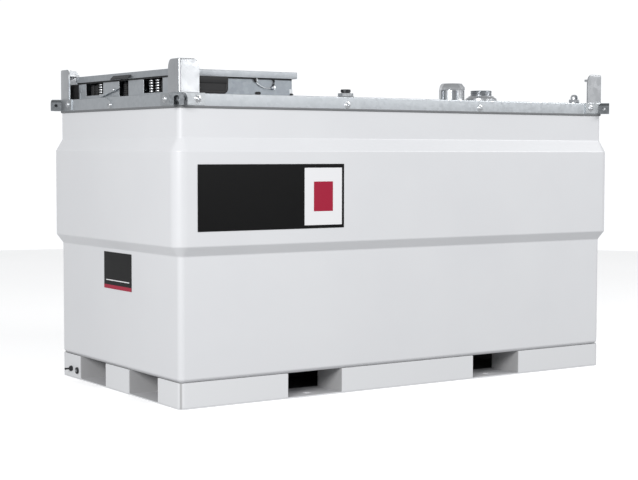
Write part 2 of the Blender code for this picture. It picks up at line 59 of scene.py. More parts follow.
FOLD_RADIUS = 0.012
FOOT_TURN_IN = 0.010
WALL_FOOT = 0.1073
WALL_TOP = 1.2600
CANNING = 0.0006
CANNING_REACH = 0.12


def linear(srgb):
    """The linear colour, with alpha, of an sRGB hex value such as #ecedef."""
    parts = [int(srgb[start:start + 2], 16) / 255 for start in (1, 3, 5)]
    return (*(part / 12.92 if part <= 0.04045 else ((part + 0.055) / 1.055) ** 2.4 for part in parts), 1.0)


def coat(name, slot, colour, metallic, roughness):
    """A finish with its plain values on its own shader; slot is the name of the material slot that it fills."""
    made = bpy.data.materials.new(name)
    made.use_nodes = True
    made["slot"] = slot
    shader = made.node_tree.nodes["Principled BSDF"]
    shader.inputs["Base Color"].default_value = linear(colour)
    shader.inputs["Metallic"].default_value = metallic
    shader.inputs["Roughness"].default_value = roughness
    return made


def add(finish, kind, settings=None, links=None):
    """Adds a node to a finish: settings are its properties or input values, links the sockets that feed it."""
    made = finish.node_tree.nodes.new(kind)
    for name, value in (settings or {}).items():
        if isinstance(name, int) or name in made.inputs:
            made.inputs[name].default_value = value
        else:
            setattr(made, name, value)
    for name, source in (links or {}).items():
        finish.node_tree.links.new(source, made.inputs[name])
    return made


def feed(finish, **sources):
    """Links sockets of the finish's own shader, named with underscores for spaces."""
    shader = finish.node_tree.nodes["Principled BSDF"]
    for name, source in sources.items():
        finish.node_tree.links.new(source, shader.inputs[name.replace("_", " ")])


def per_mm(size):
    """The scale of a pattern whose cells are that many millimetres across."""
    return 1000 / size


def bent(line, radius, steps=4):
    """A flat line of (x, y) points with its inner corners bent round, as a folding press leaves them."""
    points = [Vector(line[0])]
    for before, corner, after in zip(line, line[1:], line[2:]):
        corner = Vector(corner)
        back, ahead = Vector(before) - corner, Vector(after) - corner
        half = back.angle(ahead) / 2
        reach = min(radius / math.tan(half), back.length * 0.48, ahead.length * 0.48)
        start, end = corner + back.normalized() * reach, corner + ahead.normalized() * reach
        centre = corner + (back.normalized() + ahead.normalized()).normalized() * reach / math.cos(half)
        for step in range(steps + 1):
            toward = (start - centre).lerp(end - centre, step / steps)
            points.append(centre + toward.normalized() * reach * math.tan(half))
    points.append(Vector(line[-1]))
    return points


def parted(line, longest):
    """The same line with its long stretches parted, so that a sheet can follow a gentle curve."""
    line = [Vector(point) for point in line]
    points = [line[0]]
    for start, end in zip(line, line[1:]):
        parts = max(1, math.ceil((end - start).length / longest))
        points += [start.lerp(end, part / parts) for part in range(1, parts + 1)]
    return points


def hoop(half_x, half_y, radius, level, centre=(0.0, 0.0), steps=8, parts=(1, 1)):
    """A level rounded rectangle, anticlockwise; parts says how often its long and short sides are parted."""
    radius = max(radius, 0.0004)
    corners = []
    for quarter, (sign_x, sign_y) in enumerate(((1, 1), (-1, 1), (-1, -1), (1, -1))):
        middle = Vector((centre[0] + sign_x * (half_x - radius), centre[1] + sign_y * (half_y - radius), level))
        turns = [math.radians(90 * (quarter + step / steps)) for step in range(steps + 1)]
        corners.append([middle + Vector((math.cos(turn), math.sin(turn), 0)) * radius for turn in turns])
    points = []
    for quarter, corner in enumerate(corners):
        following = corners[(quarter + 1) % 4][0]
        count = parts[quarter % 2]
        points += corner + [corner[-1].lerp(following, part / count) for part in range(1, count)]
    return points


def loft(shape, rings, first_cap=False, last_cap=False):
    """Skins a row of rings that have the same number of points."""
    rows = [[shape.verts.new(point) for point in ring] for ring in rings]
    count = len(rows[0])
    for row, above in zip(rows, rows[1:]):
        for index in range(count):
            following = (index + 1) % count
            shape.faces.new((row[index], row[following], above[following], above[index]))
    if first_cap:
        shape.faces.new(reversed(rows[0]))
    if last_cap:
        shape.faces.new(rows[-1])


def fit(name, shape, finish, body="tank", instead_of=(), sharp=32, ease=0.0, thick=0.0):
    """Makes a piece of the shape, which rides on its body and stands for the solids that it replaces.

    ease rounds its edges by that much, and thick gives a sheet its thickness, inwards.
    """
    bmesh.ops.remove_doubles(shape, verts=shape.verts, dist=0.00001)
    if not thick:
        bmesh.ops.recalc_face_normals(shape, faces=shape.faces)
    mesh = bpy.data.meshes.new(name)
    shape.to_mesh(mesh)
    shape.free()
    mesh.materials.append(finish)
    mesh.shade_smooth()
    made = bpy.data.objects.new(name, mesh)
    bpy.context.scene.collection.objects.link(made)
    if thick:
        sheet = made.modifiers.new("Sheet", "SOLIDIFY")
        sheet.thickness = thick
        sheet.offset = -1
        sheet.use_even_offset = True
    if ease:
        bevel = made.modifiers.new("Eased edges", "BEVEL")
        bevel.width = ease
        bevel.segments = 2
        bevel.limit_method = "ANGLE"
        bevel.angle_limit = math.radians(28)
    else:
        mesh.set_sharp_from_angle(angle=math.radians(sharp))
    if ease or thick:
        weighted = made.modifiers.new("Flat faces stay flat", "WEIGHTED_NORMAL")
        weighted.keep_sharp = True
    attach(made, body)
    if instead_of:
        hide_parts(*instead_of)
    return made


powder_coat = coat("white_polyester_powder_coat", "white_coating", "#dadbdd", 0.0, 0.36)
place = add(powder_coat, "ShaderNodeTexCoord")
clouds = add(powder_coat, "ShaderNodeTexNoise", {"Scale": per_mm(380), "Detail": 3.0, "Roughness": 0.55},
             {"Vector": place.outputs["Object"]})
tone = add(powder_coat, "ShaderNodeMix", {"data_type": "RGBA", 6: linear("#d5d6d9"), 7: linear("#dcdddf")},
           {0: clouds.outputs["Fac"]})
gloss = add(powder_coat, "ShaderNodeMapRange", {"To Min": 0.31, "To Max": 0.43}, {"Value": clouds.outputs["Fac"]})
# Real orange peel is 1 to 2 mm across; 5 mm is the finest that shows from where the tank is seen.
peel = add(powder_coat, "ShaderNodeTexNoise", {"Scale": per_mm(5), "Detail": 1.0},
           {"Vector": place.outputs["Object"]})
skin = add(powder_coat, "ShaderNodeBump", {"Strength": 0.06, "Distance": 0.0006}, {"Height": peel.outputs["Fac"]})
feed(powder_coat, Base_Color=tone.outputs[2], Roughness=gloss.outputs["Result"], Normal=skin.outputs["Normal"])


def drawn_by_heat(spot):
    """How far a flat wall stands out of true at a spot, fading towards its folds and its top edge."""
    wave = math.sin(6.1 * spot.x + 1.3) * math.sin(8.3 * spot.z + 0.5) + 0.6 * math.sin(11.7 * spot.y + 5.2 * spot.z)
    folds = (WALL_FOOT, *BELLY_LEVELS, WALL_TOP - 0.05)
    calm = min(abs(spot.z - level) for level in folds) / CANNING_REACH if spot.z < folds[-1] else 0.0
    return CANNING * wave * min(calm, 1.0)


profile = bent([(-FOOT_TURN_IN, WALL_FOOT), (0.0, 0.120), (0.0, BELLY_LEVELS[0]), (BELLY_DEPTH, BELLY_LEVELS[1]),
                (BELLY_DEPTH, BELLY_LEVELS[2]), (0.0, BELLY_LEVELS[3]), (0.0, WALL_TOP)], FOLD_RADIUS)
walls = bmesh.new()
loft(walls, [hoop(SIDE_X + out, SIDE_Y + out, BODY_CORNER + out, level, parts=(40, 20))
             for out, level in parted(profile, 0.060)])
for vertex in walls.verts:
    spot = vertex.co
    along_x, along_y = SIDE_X - 0.04 - abs(spot.x), SIDE_Y - 0.04 - abs(spot.y)
    if along_x > 0:
        spot.y += math.copysign(drawn_by_heat(spot) * min(along_x / CANNING_REACH, 1.0), spot.y)
    elif along_y > 0:
        spot.x += math.copysign(drawn_by_heat(spot) * min(along_y / CANNING_REACH, 1.0), spot.x)
fit("body_walls", walls, powder_coat, instead_of=("front_wall", "back_wall", "left_end_wall", "right_end_wall"),
    sharp=50, thick=WALL_SHEET)
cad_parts["tank_floor"].data.materials.clear()
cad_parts["tank_floor"].data.materials.append(powder_coat)

# The base: nine folded steel boxes welded to a floor plate, with fork pockets left between them both ways. The
# outer faces are powder coated with the body; inside the pockets the colour is painted darker as shade, and deep
# inside it is painted black as the shade there. A weld bead runs along the foot of each pocket wall.
PLATE_EASE = 0.0012
BLACK_SHADE_FROM = 0.185
SEAM_BEAD = 0.0028
BEAD_RIPPLE = 0.0025


def paint_with_pocket_shade(name, pocket_shade_colour):
    """Powder coat outside, with painted shade inside the pockets: a darker colour, and black far in."""
    made = coat(name, "white_coating", "#dadbdd", 0.0, 0.38)
    place = add(made, "ShaderNodeTexCoord")
    spot = add(made, "ShaderNodeSeparateXYZ", None, {"Vector": place.outputs["Object"]})
    far_in = []
    for axis, side in (("X", SIDE_X), ("Y", SIDE_Y)):
        reach = add(made, "ShaderNodeMath", {"operation": "ABSOLUTE"}, {0: spot.outputs[axis]})
        far_in.append(add(made, "ShaderNodeMath", {"operation": "SUBTRACT", 0: side}, {1: reach.outputs[0]}))
    depth = add(made, "ShaderNodeMath", {"operation": "MINIMUM"},
                {0: far_in[0].outputs[0], 1: far_in[1].outputs[0]})
    # The black painted shade is mottled in soft blotches of about 12 mm, which also bump the surface.
    blotches = add(made, "ShaderNodeTexNoise", {"Scale": per_mm(12), "Detail": 2.0},
                {"Vector": place.outputs["Object"]})
    # Painted shade: black far inside the pockets, where the light does not reach.
    black_shade = add(made, "ShaderNodeMix", {"data_type": "RGBA", 6: linear("#0e0e0f"), 7: linear("#242425")},
              {0: blotches.outputs["Fac"]})
    inside = add(made, "ShaderNodeMapRange", {"From Min": 0.003, "From Max": 0.006}, {"Value": depth.outputs[0]})
    deep = add(made, "ShaderNodeMapRange", {"From Min": BLACK_SHADE_FROM, "From Max": BLACK_SHADE_FROM + 0.02},
               {"Value": depth.outputs[0]})
    # Painted shade: a darker colour on every face inside the pockets.
    pocket_shaded = add(made, "ShaderNodeMix", {"data_type": "RGBA", 6: linear("#dadbdd"), 7: linear(pocket_shade_colour)},
                 {0: inside.outputs["Result"]})
    shaded = add(made, "ShaderNodeMix", {"data_type": "RGBA"},
                {0: deep.outputs["Result"], 6: pocket_shaded.outputs[2], 7: black_shade.outputs[2]})
    gloss = add(made, "ShaderNodeMapRange", {"To Min": 0.38, "To Max": 0.60}, {"Value": inside.outputs["Result"]})
    relief = add(made, "ShaderNodeBump", {"Strength": 0.12, "Distance": 0.0006}, {"Height": blotches.outputs["Fac"]})
    feed(made, Base_Color=shaded.outputs[2], Roughness=gloss.outputs["Result"], Normal=relief.outputs["Normal"])
    return made


def eased_copy(node, finish, ease, body="tank"):
    """A solid's own shape with its edges eased, standing for that solid."""
    shape = bmesh.new()
    shape.from_mesh(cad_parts[node].data)
    bmesh.ops.remove_doubles(shape, verts=shape.verts, dist=0.00001)
    bmesh.ops.dissolve_limit(shape, angle_limit=math.radians(1), verts=shape.verts, edges=shape.edges)
    return fit(f"{node}_eased", shape, finish, body, (node,), ease=ease)


def rod(shape, path, radii, sides=10):
    """A bar along a path, with flat ends; radii holds one radius for each point or one for all."""
    path = [Vector(point) for point in path]
    if not isinstance(radii, (list, tuple)):
        radii = [radii] * len(path)
    rings = []
    for index, (point, radius) in enumerate(zip(path, radii)):
        ahead = path[min(index + 1, len(path) - 1)] - path[max(index - 1, 0)]
        turn = ahead.to_track_quat("Z", "Y")
        rings.append([point + turn @ Vector((math.cos(2 * math.pi * side / sides),
                                             math.sin(2 * math.pi * side / sides), 0)) * radius
                      for side in range(sides)])
    loft(shape, rings, first_cap=True, last_cap=True)


def weld(shape, path, radius):
    """A run of weld along a path, rippled as the welder moves it on."""
    points = parted(path, BEAD_RIPPLE)
    radii = [radius * (1.0 if index % 2 else 0.84) for index in range(len(points))]
    radii[0] = radii[-1] = radius * 0.3
    rod(shape, points, radii, 6)


# The pocket colours below are painted shade: a darker grey on the cells, a lighter grey on the floor plate.
cell_paint = paint_with_pocket_shade("powder_coat_with_painted_pocket_shade", "#a9a9aa")
plate_paint = paint_with_pocket_shade("floor_plate_coat_with_painted_pocket_shade", "#c6c6c8")
eased_copy("base_plate", plate_paint, PLATE_EASE)
for cell in ("base_cell_centre", "skirt_front", "skirt_back", "skirt_left_end", "skirt_right_end",
             "skirt_corner_front_left", "skirt_corner_front_right", "skirt_corner_back_left",
             "skirt_corner_back_right"):
    eased_copy(cell, cell_paint, PLATE_EASE)

seams = bmesh.new()
pocket_x = (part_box("skirt_front")[1].x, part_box("skirt_corner_front_right")[0].x)
pocket_y = (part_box("skirt_left_end")[1].y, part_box("skirt_corner_back_left")[0].y)
for sign_x in (-1, 1):
    for sign_y in (-1, 1):
        for x in pocket_x:
            weld(seams, [(sign_x * x, sign_y * (pocket_y[1] + 0.004), PLATE_TOP),
                         (sign_x * x, sign_y * (SIDE_Y - 0.004), PLATE_TOP)], SEAM_BEAD)
        for y in pocket_y:
            weld(seams, [(sign_x * (pocket_x[1] + 0.004), sign_y * y, PLATE_TOP),
                         (sign_x * (SIDE_X - 0.004), sign_y * y, PLATE_TOP)], SEAM_BEAD)
fit("pocket_seam_welds", seams, cell_paint, sharp=70)

# The cover: one sheet of 4 mm steel folded down over the top of the walls and hot-dip galvanised. The zinc
# freezes into crystals about 15 mm across, a satin blue-grey with faint differences from one to the next. A dark
# rubber edging is pushed over its lower edge; its dark grey also stands for the shade along that edge.
COVER_LOW, COVER_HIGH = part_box("top_cover")
COVER_SHEET = 0.004
COVER_FOLD = 0.0035
COVER_OUT = COVER_HIGH.x - SIDE_X
SHADE_EDGING_HEIGHT = 0.0085


def zinc(name, slot, dark, light, roughness, crystal_mm, uneven=1.0):
    """Zinc on steel: crystals of two close greys, each with its own gloss, over a faint ripple."""
    made = coat(name, slot, dark, 1.0, roughness)
    place = add(made, "ShaderNodeTexCoord")
    crystals = add(made, "ShaderNodeTexVoronoi", {"Scale": per_mm(crystal_mm)}, {"Vector": place.outputs["Object"]})
    grain = add(made, "ShaderNodeSeparateColor", None, {"Color": crystals.outputs["Color"]})
    bloom = add(made, "ShaderNodeTexNoise", {"Scale": per_mm(160), "Detail": 3.0}, {"Vector": place.outputs["Object"]})
    both = add(made, "ShaderNodeMix", {"data_type": "FLOAT", 0: 0.6}, {2: grain.outputs[0], 3: bloom.outputs["Fac"]})
    tint = add(made, "ShaderNodeMix", {"data_type": "RGBA", 6: linear(dark), 7: linear(light)}, {0: both.outputs[0]})
    gloss = add(made, "ShaderNodeMapRange", {"To Min": roughness - 0.05 * uneven, "To Max": roughness + 0.06 * uneven},
                {"Value": grain.outputs[1]})
    ripple = add(made, "ShaderNodeTexNoise", {"Scale": per_mm(30), "Detail": 2.0}, {"Vector": place.outputs["Object"]})
    relief = add(made, "ShaderNodeBump", {"Strength": 0.05 * uneven, "Distance": 0.0008},
                 {"Height": ripple.outputs["Fac"]})
    feed(made, Base_Color=tint.outputs[2], Roughness=gloss.outputs["Result"], Normal=relief.outputs["Normal"])
    return made


def rubber(name, dark, light):
    """Moulded EPDM rubber, matt, with a fine grain of about 1 mm that is drawn at 3 mm so that it shows."""
    made = coat(name, "black_rubber", dark, 0.0, 0.62)
    place = add(made, "ShaderNodeTexCoord")
    grain = add(made, "ShaderNodeTexNoise", {"Scale": per_mm(3), "Detail": 2.0}, {"Vector": place.outputs["Object"]})
    shade = add(made, "ShaderNodeMix", {"data_type": "RGBA", 6: linear(dark), 7: linear(light)},
                {0: grain.outputs["Fac"]})
    relief = add(made, "ShaderNodeBump", {"Strength": 0.2, "Distance": 0.0005}, {"Height": grain.outputs["Fac"]})
    feed(made, Base_Color=shade.outputs[2], Normal=relief.outputs["Normal"])
    return made


hot_dip_zinc = zinc("hot_dip_galvanised_steel", "galvanised_steel", "#c3c8cc", "#d4d8dc", 0.42, 15)
# Painted shade: the edging's dark grey stands for the shade under the cover's lower edge.
shade_edging_rubber = rubber("grey_rubber_edging_painted_shade", "#6b6d6f", "#797b7d")

edge = bent([(COVER_OUT, COVER_LOW.z), (COVER_OUT, COVER_HIGH.z), (-0.090, COVER_HIGH.z)], COVER_FOLD, 5)
inward = [Vector((-reach, COVER_HIGH.z)) for reach in (0.20, 0.32, 0.44, 0.555)]
cover = bmesh.new()
loft(cover, [hoop(SIDE_X + out, SIDE_Y + out, BODY_CORNER + out, level, parts=(24, 12))
             for out, level in [*edge, *inward]], last_cap=True)
fit("cover_sheet", cover, hot_dip_zinc, instead_of=("top_cover",), sharp=50, thick=COVER_SHEET)

shade_edging = bmesh.new()
lip = [(COVER_OUT - 0.0005, SHADE_EDGING_HEIGHT), (COVER_OUT + 0.0016, SHADE_EDGING_HEIGHT - 0.0006),
       (COVER_OUT + 0.0022, SHADE_EDGING_HEIGHT - 0.0024), (COVER_OUT + 0.0018, 0.0014), (COVER_OUT - 0.0004, -0.0008),
       (0.0005, -0.0010), (0.0005, 0.0010), (COVER_OUT - 0.0005, 0.0012)]
loft(shade_edging, [hoop(SIDE_X + out, SIDE_Y + out, BODY_CORNER + out, COVER_LOW.z + rise, parts=(24, 12))
              for out, rise in [*lip, lip[0]]])
fit("cover_edging_painted_shade", shade_edging, shade_edging_rubber, sharp=40)

# Zinc-plated M12 button-head bolts with broad washers hold the cover to the walls and the corner irons to the
# cover. Bright zinc plate is smoother and lighter than the dipped sheet.
COVER_BOLT_LEVEL = 1.2325
COVER_BOLTS_X = (-0.3425, 0.3885)
COVER_BOLT_Y = 0.044
WASHER = 0.0155
HEAD = 0.0105
SOCKET = 0.0042


def lathe(shape, profile, place=None, around=40, hexed=(), lead=None):
    """Turns (radius, height) points about Z at a place; hexed names the points that lie on a hexagon.

    lead(turn, radius, height) may give another radius, as a thread or a window needs.
    """
    rings = []
    for index, (radius, height) in enumerate(profile):
        ring = []
        for step in range(around):
            turn = 2 * math.pi * step / around
            reach = lead(turn, radius, height) if lead else radius
            if index in hexed:
                reach = radius / math.cos((turn + math.pi / 6) % (math.pi / 3) - math.pi / 6)
            ring.append((place or Matrix()) @ Vector((math.cos(turn) * reach, math.sin(turn) * reach, height)))
        rings.append(ring)
    loft(shape, rings)


def facing(spot, outward):
    """Stands a turned shape at a spot with its axis pointing outward."""
    return Matrix.Translation(spot) @ Vector(outward).to_track_quat("Z", "Y").to_matrix().to_4x4()


def button_bolt(shape, spot, outward):
    """A washer and a button head with a hexagon socket, seated on a face at a spot."""
    profile = [(0.004, 0.0), (WASHER, 0.0), (WASHER, 0.0014), (WASHER - 0.0006, 0.0020), (HEAD + 0.0008, 0.0022),
               (HEAD, 0.0026), (HEAD, 0.0036), (HEAD * 0.88, 0.0056), (HEAD * 0.62, 0.0072), (SOCKET * 1.15, 0.0078),
               (SOCKET, 0.0076), (SOCKET, 0.0040), (0.0, 0.0036)]
    lathe(shape, profile, facing(spot, outward), 36, hexed=(10, 11))


zinc_plate = zinc("bright_zinc_plated_steel", "bright_zinc_steel", "#cbced1", "#dcdee0", 0.34, 8, uneven=0.5)

bolts = bmesh.new()
for sign in (-1, 1):
    for x in COVER_BOLTS_X:
        button_bolt(bolts, (x, sign * (SIDE_Y + COVER_OUT), COVER_BOLT_LEVEL), (0, sign, 0))
    button_bolt(bolts, (sign * (SIDE_X + COVER_OUT), COVER_BOLT_Y, COVER_BOLT_LEVEL), (sign, 0, 0))
fit("cover_bolts", bolts, zinc_plate)

# Corner irons: a folded angle bolted over each corner of the cover, with a lifting lug welded on its nose, and above
# it a stacking post of heavy angle with a seat for the next tank, stiffened by a web. All are cut from plate,
# welded, then plated; the folds and the top edges of the posts catch the light. The lugs' slanting faces carry a
# darker zinc as painted shade.
CORNERS = {"front_left": (-1, -1), "front_right": (1, -1), "back_left": (-1, 1), "back_right": (1, 1)}
IRON_SHEET = 0.0053
IRON_EASE = 0.0022
IRON_BOLTS = (0.0804, 0.1034)
IRON_BOLT_LEVEL = 1.2438
LUG_FACING = 0.5
POST_ARM = 0.092
POST_SHEET = 0.008
POST_BEND = 0.010
POST_ROUNDED = (0.028, 0.041)
POST_EASE = 0.005
POST_BEAD = 0.0030
POST_LOW, POST_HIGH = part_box("stacking_post_front_left")
SEAT_HIGH = 1.381
SEAT_SHEET = 0.010
SEAT_REACH = 0.078
WEB_DROP = 0.033
WEB_HALF = 0.003

iron_zinc = zinc("plated_corner_irons", "bright_zinc_steel", "#b6babd", "#c8cccf", 0.40, 8, uneven=0.5)
lug_face_shade = zinc("lifting_lug_faces_painted_shade", "bright_zinc_steel", "#5f6265", "#74777a", 0.58, 6)
post_zinc = zinc("plated_post_steel", "galvanised_steel", "#c3c6c9", "#d4d6d9", 0.33, 26, uneven=0.6)

for label, (sign_x, sign_y) in CORNERS.items():
    def at_corner(from_x, from_y, level):
        """A spot measured inwards from the body's corner."""
        return Vector((sign_x * (SIDE_X - from_x), sign_y * (SIDE_Y - from_y), level))

    iron = eased_copy(f"lifting_bracket_{label}", iron_zinc, IRON_EASE)
    # Painted shade: the lugs' slanting faces, picked by which way they face, get a dark zinc.
    iron.data.materials.append(lug_face_shade)
    for face in iron.data.polygons:
        if min(abs(face.normal.x), abs(face.normal.y)) > LUG_FACING:
            face.material_index = 1
    bolts = bmesh.new()
    button_bolt(bolts, at_corner(IRON_BOLTS[0], -COVER_OUT - IRON_SHEET, IRON_BOLT_LEVEL), (0, sign_y, 0))
    button_bolt(bolts, at_corner(-COVER_OUT - IRON_SHEET, IRON_BOLTS[1], IRON_BOLT_LEVEL), (sign_x, 0, 0))
    fit(f"iron_bolts_{label}", bolts, zinc_plate)

    post = bmesh.new()
    across, down = POST_ROUNDED
    sections = [(POST_LOW.z, 0.0, 0.0)]
    for rise in (0.0, 0.25, 0.5, 0.7, 0.84, 0.93, 0.98, 1.0):
        near_top = max(0.0, 1 - down * (1 - rise) / POST_EASE)
        sections.append((POST_HIGH.z - down * (1 - rise), across * (1 - math.sqrt(1 - rise ** 2)),
                         POST_EASE * (1 - math.sqrt(1 - near_top ** 2))))
    rings = []
    for level, cut, lean in sections:
        arm = POST_ARM - cut
        outer = bent([(arm, lean), (lean, lean), (lean, arm)], POST_BEND, 6)
        inner = bent([(POST_SHEET, arm), (POST_SHEET, POST_SHEET), (arm, POST_SHEET)], 0.002, 3)
        rings.append([at_corner(x, y, level) for x, y in [*outer, *inner]])
    loft(post, rings, first_cap=True, last_cap=True)
    fit(f"post_angle_{label}", post, post_zinc, instead_of=(f"stacking_post_{label}",), sharp=30)

    seat = bmesh.new()
    root = POST_SHEET - 0.002
    shelf = [(root, root), (SEAT_REACH, root), (SEAT_REACH, SEAT_REACH / 2), (SEAT_REACH / 2, SEAT_REACH),
             (root, SEAT_REACH)]
    loft(seat, [[at_corner(x, y, level) for x, y in shelf] for level in (SEAT_HIGH - SEAT_SHEET, SEAT_HIGH)],
         first_cap=True, last_cap=True)
    web = [(root, SEAT_HIGH - SEAT_SHEET / 2), (0.048, SEAT_HIGH - SEAT_SHEET / 2),
           (root + 0.016, SEAT_HIGH - SEAT_SHEET - WEB_DROP), (root, SEAT_HIGH - SEAT_SHEET - WEB_DROP)]
    aside = WEB_HALF * math.sqrt(0.5)
    loft(seat, [[at_corner(reach + shift, reach - shift, level) for reach, level in web] for shift in (-aside, aside)],
         first_cap=True, last_cap=True)
    fit(f"stacking_seat_{label}", seat, zinc_plate, ease=0.0010)

    welds = bmesh.new()
    foot = POST_LOW.z + 0.0004
    weld(welds, [at_corner(POST_ARM, 0.0, foot), at_corner(0.006, 0.0, foot), at_corner(0.0, 0.006, foot),
                 at_corner(0.0, POST_ARM, foot)], POST_BEAD)
    weld(welds, [at_corner(POST_ARM, POST_SHEET, foot), at_corner(POST_SHEET, POST_SHEET, foot),
                 at_corner(POST_SHEET, POST_ARM, foot)], POST_BEAD)
    fit(f"post_welds_{label}", welds, post_zinc, sharp=70)

# The equipment cabinet: low walls of 3 mm galvanised sheet on the cover, with a black rubber edging round their
# top that the lid closes on; its black also stands for the shadow under the lid's edge. Open-topped slots in its end
# wall let pipes out, a rubber grommet closes the drain hole low in each side, and a plated clip ties each side to the
# inner wall. The side walls' zinc is painted darker than the end wall's, as shade.
CABINET_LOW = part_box("cabinet_end_wall")[0]
CABINET_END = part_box("cabinet_inner_wall")[1].x
CABINET_SIDE = 0.455
SHADOW_TRIM_LEVELS = (1.3345, 1.3405)
SHADOW_TRIM_OUT = 0.0046
GROMMET_X = -0.7158
GROMMET_LEVEL = 1.2772
GROMMET_HALF = (0.0135, 0.0062)
FOOT_X = -0.549
CLIP_LEVELS = (1.2800, 1.2980)
CLIP_LEG = 0.0126
CLIP_SHEET = 0.0022
CLIP_BEND = 0.0024

# Painted shade: the side walls get a darker zinc than the end and inner walls.
side_wall_shade_zinc = zinc("galvanised_side_sheet_painted_shade", "galvanised_steel", "#90969c", "#a5abb1", 0.44, 15)
for wall, finish in (("end", hot_dip_zinc), ("inner", hot_dip_zinc), ("front", side_wall_shade_zinc), ("back", side_wall_shade_zinc)):
    eased_copy(f"cabinet_{wall}_wall", finish, 0.0006)

clips = bmesh.new()
for sign in (-1, 1):
    out_x, out_y = CABINET_END + CLIP_SHEET, CABINET_SIDE + CLIP_SHEET
    folded = bent([(CABINET_END - CLIP_LEG, out_y), (out_x, out_y), (out_x, CABINET_SIDE - CLIP_LEG)], CLIP_BEND)
    section = [*folded, (CABINET_END, CABINET_SIDE - CLIP_LEG), (CABINET_END, CABINET_SIDE),
               (CABINET_END - CLIP_LEG, CABINET_SIDE)]
    loft(clips, [[Vector((x, sign * y, level)) for x, y in section] for level in CLIP_LEVELS], first_cap=True,
         last_cap=True)
fit("cabinet_corner_clips", clips, zinc_plate, ease=0.0004)

black_rubber = rubber("black_epdm_rubber", "#141415", "#242426")
# Painted shadow: the trim's black also stands for the shadow gap under the lid's edge.
shadow_trim = bmesh.new()
low, high = SHADOW_TRIM_LEVELS
section = [(0.0003, low), (SHADOW_TRIM_OUT - 0.001, low), (SHADOW_TRIM_OUT, low + 0.001), (SHADOW_TRIM_OUT, high - 0.001),
           (SHADOW_TRIM_OUT - 0.001, high), (0.0003, high)]
stations = []
for out, level in section:
    stations.append([Vector((CABINET_END - 0.004, -CABINET_SIDE - out, level)),
                     Vector((CABINET_LOW.x - out, -CABINET_SIDE - out, level)),
                     Vector((CABINET_LOW.x - out, CABINET_SIDE + out, level)),
                     Vector((CABINET_END - 0.004, CABINET_SIDE + out, level))])
loft(shadow_trim, list(zip(*stations)), first_cap=True, last_cap=True)
fit("cabinet_trim_painted_shadow", shadow_trim, black_rubber, sharp=30)

plugs = bmesh.new()
for sign in (-1, 1):
    wide, tall = GROMMET_HALF
    for x, level, size in ((GROMMET_X, GROMMET_LEVEL, 1.0), (FOOT_X, GROMMET_LEVEL - 0.002, 0.6)):
        rings = [[Vector((x + point.x, sign * (CABINET_SIDE + out), level + point.y))
                  for point in hoop(wide * size - inset, tall * size - inset, tall * size - inset, 0.0, steps=6)]
                 for inset, out in ((0.0, 0.0), (0.0, 0.0022), (0.0012, 0.0032), (0.0024, 0.0032), (0.0030, 0.0020))]
        loft(plugs, rings, first_cap=True, last_cap=True)
fit("cabinet_grommets", plugs, black_rubber)

# Ribbed couplings stand behind the slots: bright zinc-plated steel rings, turned, on a black rubber core whose black
# also stands for the shade between the rings. Beside them stand moulded rubber bellows of the same height, closed at
# the top, that seal the cover's other outlets.
RING_PITCH = 0.0112
RING_HALF = 0.0031
COUPLING_OUT = 0.0125
COUPLING_CORE = 0.0072
BELLOWS_PITCH = 0.0088
BELLOWS_TALL = 0.062
BELLOWS = ((-1.0865, 0.345, 0.0135), (-1.0865, 0.305, 0.0135), (-1.0870, 0.018, 0.0130), (-1.0870, -0.020, 0.0130),
           (-1.0870, -0.322, 0.0125), (-1.0690, 0.225, 0.0125), (-1.0690, -0.205, 0.0125))

# Painted shade: the black cores show dark between the bright rings.
shade_cores = bmesh.new()
for number in (1, 2, 3):
    low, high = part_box(f"hose_coupling_{number}")
    centre = Matrix.Translation(((low.x + high.x) / 2, (low.y + high.y) / 2, 0))
    lathe(shade_cores, [(0.0, high.z - 0.0010), (COUPLING_CORE - 0.001, high.z - 0.0010), (COUPLING_CORE, high.z - 0.0020),
                  (COUPLING_CORE, low.z), (0.0, low.z)], centre, 24)
    rings = bmesh.new()
    crest = high.z - RING_HALF
    while crest - RING_HALF > low.z + 0.008:
        lathe(rings, [(COUPLING_CORE - 0.0004, crest + RING_HALF), (COUPLING_OUT - 0.0008, crest + RING_HALF),
                      (COUPLING_OUT, crest + RING_HALF * 0.6), (COUPLING_OUT, crest - RING_HALF * 0.6),
                      (COUPLING_OUT - 0.0008, crest - RING_HALF), (COUPLING_CORE - 0.0004, crest - RING_HALF),
                      (COUPLING_CORE - 0.0004, crest + RING_HALF)], centre, 32)
        crest -= RING_PITCH
    lathe(rings, [(0.0, low.z + 0.0055), (0.0125, low.z + 0.0055), (0.0135, low.z + 0.0046), (0.0135, low.z),
                  (0.0, low.z)], centre, 32, hexed=(1, 2, 3))
    fit(f"ribbed_coupling_{number}", rings, zinc_plate, instead_of=(f"hose_coupling_{number}",), sharp=35)
fit("coupling_cores_painted_shade", shade_cores, black_rubber)

bellows = bmesh.new()
for x, y, outer in BELLOWS:
    foot = COVER_HIGH.z + 0.0003
    profile = [(0.0, foot + BELLOWS_TALL), (outer * 0.7, foot + BELLOWS_TALL)]
    crest = foot + BELLOWS_TALL - BELLOWS_PITCH
    while crest > foot + BELLOWS_PITCH / 2:
        for turn in range(0, 181, 30):
            swell = math.radians(turn)
            profile.append((outer * (0.78 + 0.22 * math.sin(swell)), crest + 0.38 * BELLOWS_PITCH * math.cos(swell)))
        crest -= BELLOWS_PITCH
    lathe(bellows, [*profile, (outer * 0.8, foot), (0.0, foot)], Matrix.Translation((x, y, 0)), 20)
fit("outlet_bellows", bellows, black_rubber, sharp=70)

# Two moulded rubber boots close the cabinet's larger outlets beside its side walls. Each has a broad upper band, a
# shallow panel pressed into its side and one large corner below.
PANEL_FOOT, PANEL_END, PANEL_BAND = 0.0120, 0.0088, 0.0268
PANEL_START = 0.012
BOOT_CORNERS = (0.006, 0.006, 0.006, 0.022)
PANEL_CORNERS = (0.004, 0.004, 0.004, 0.010)

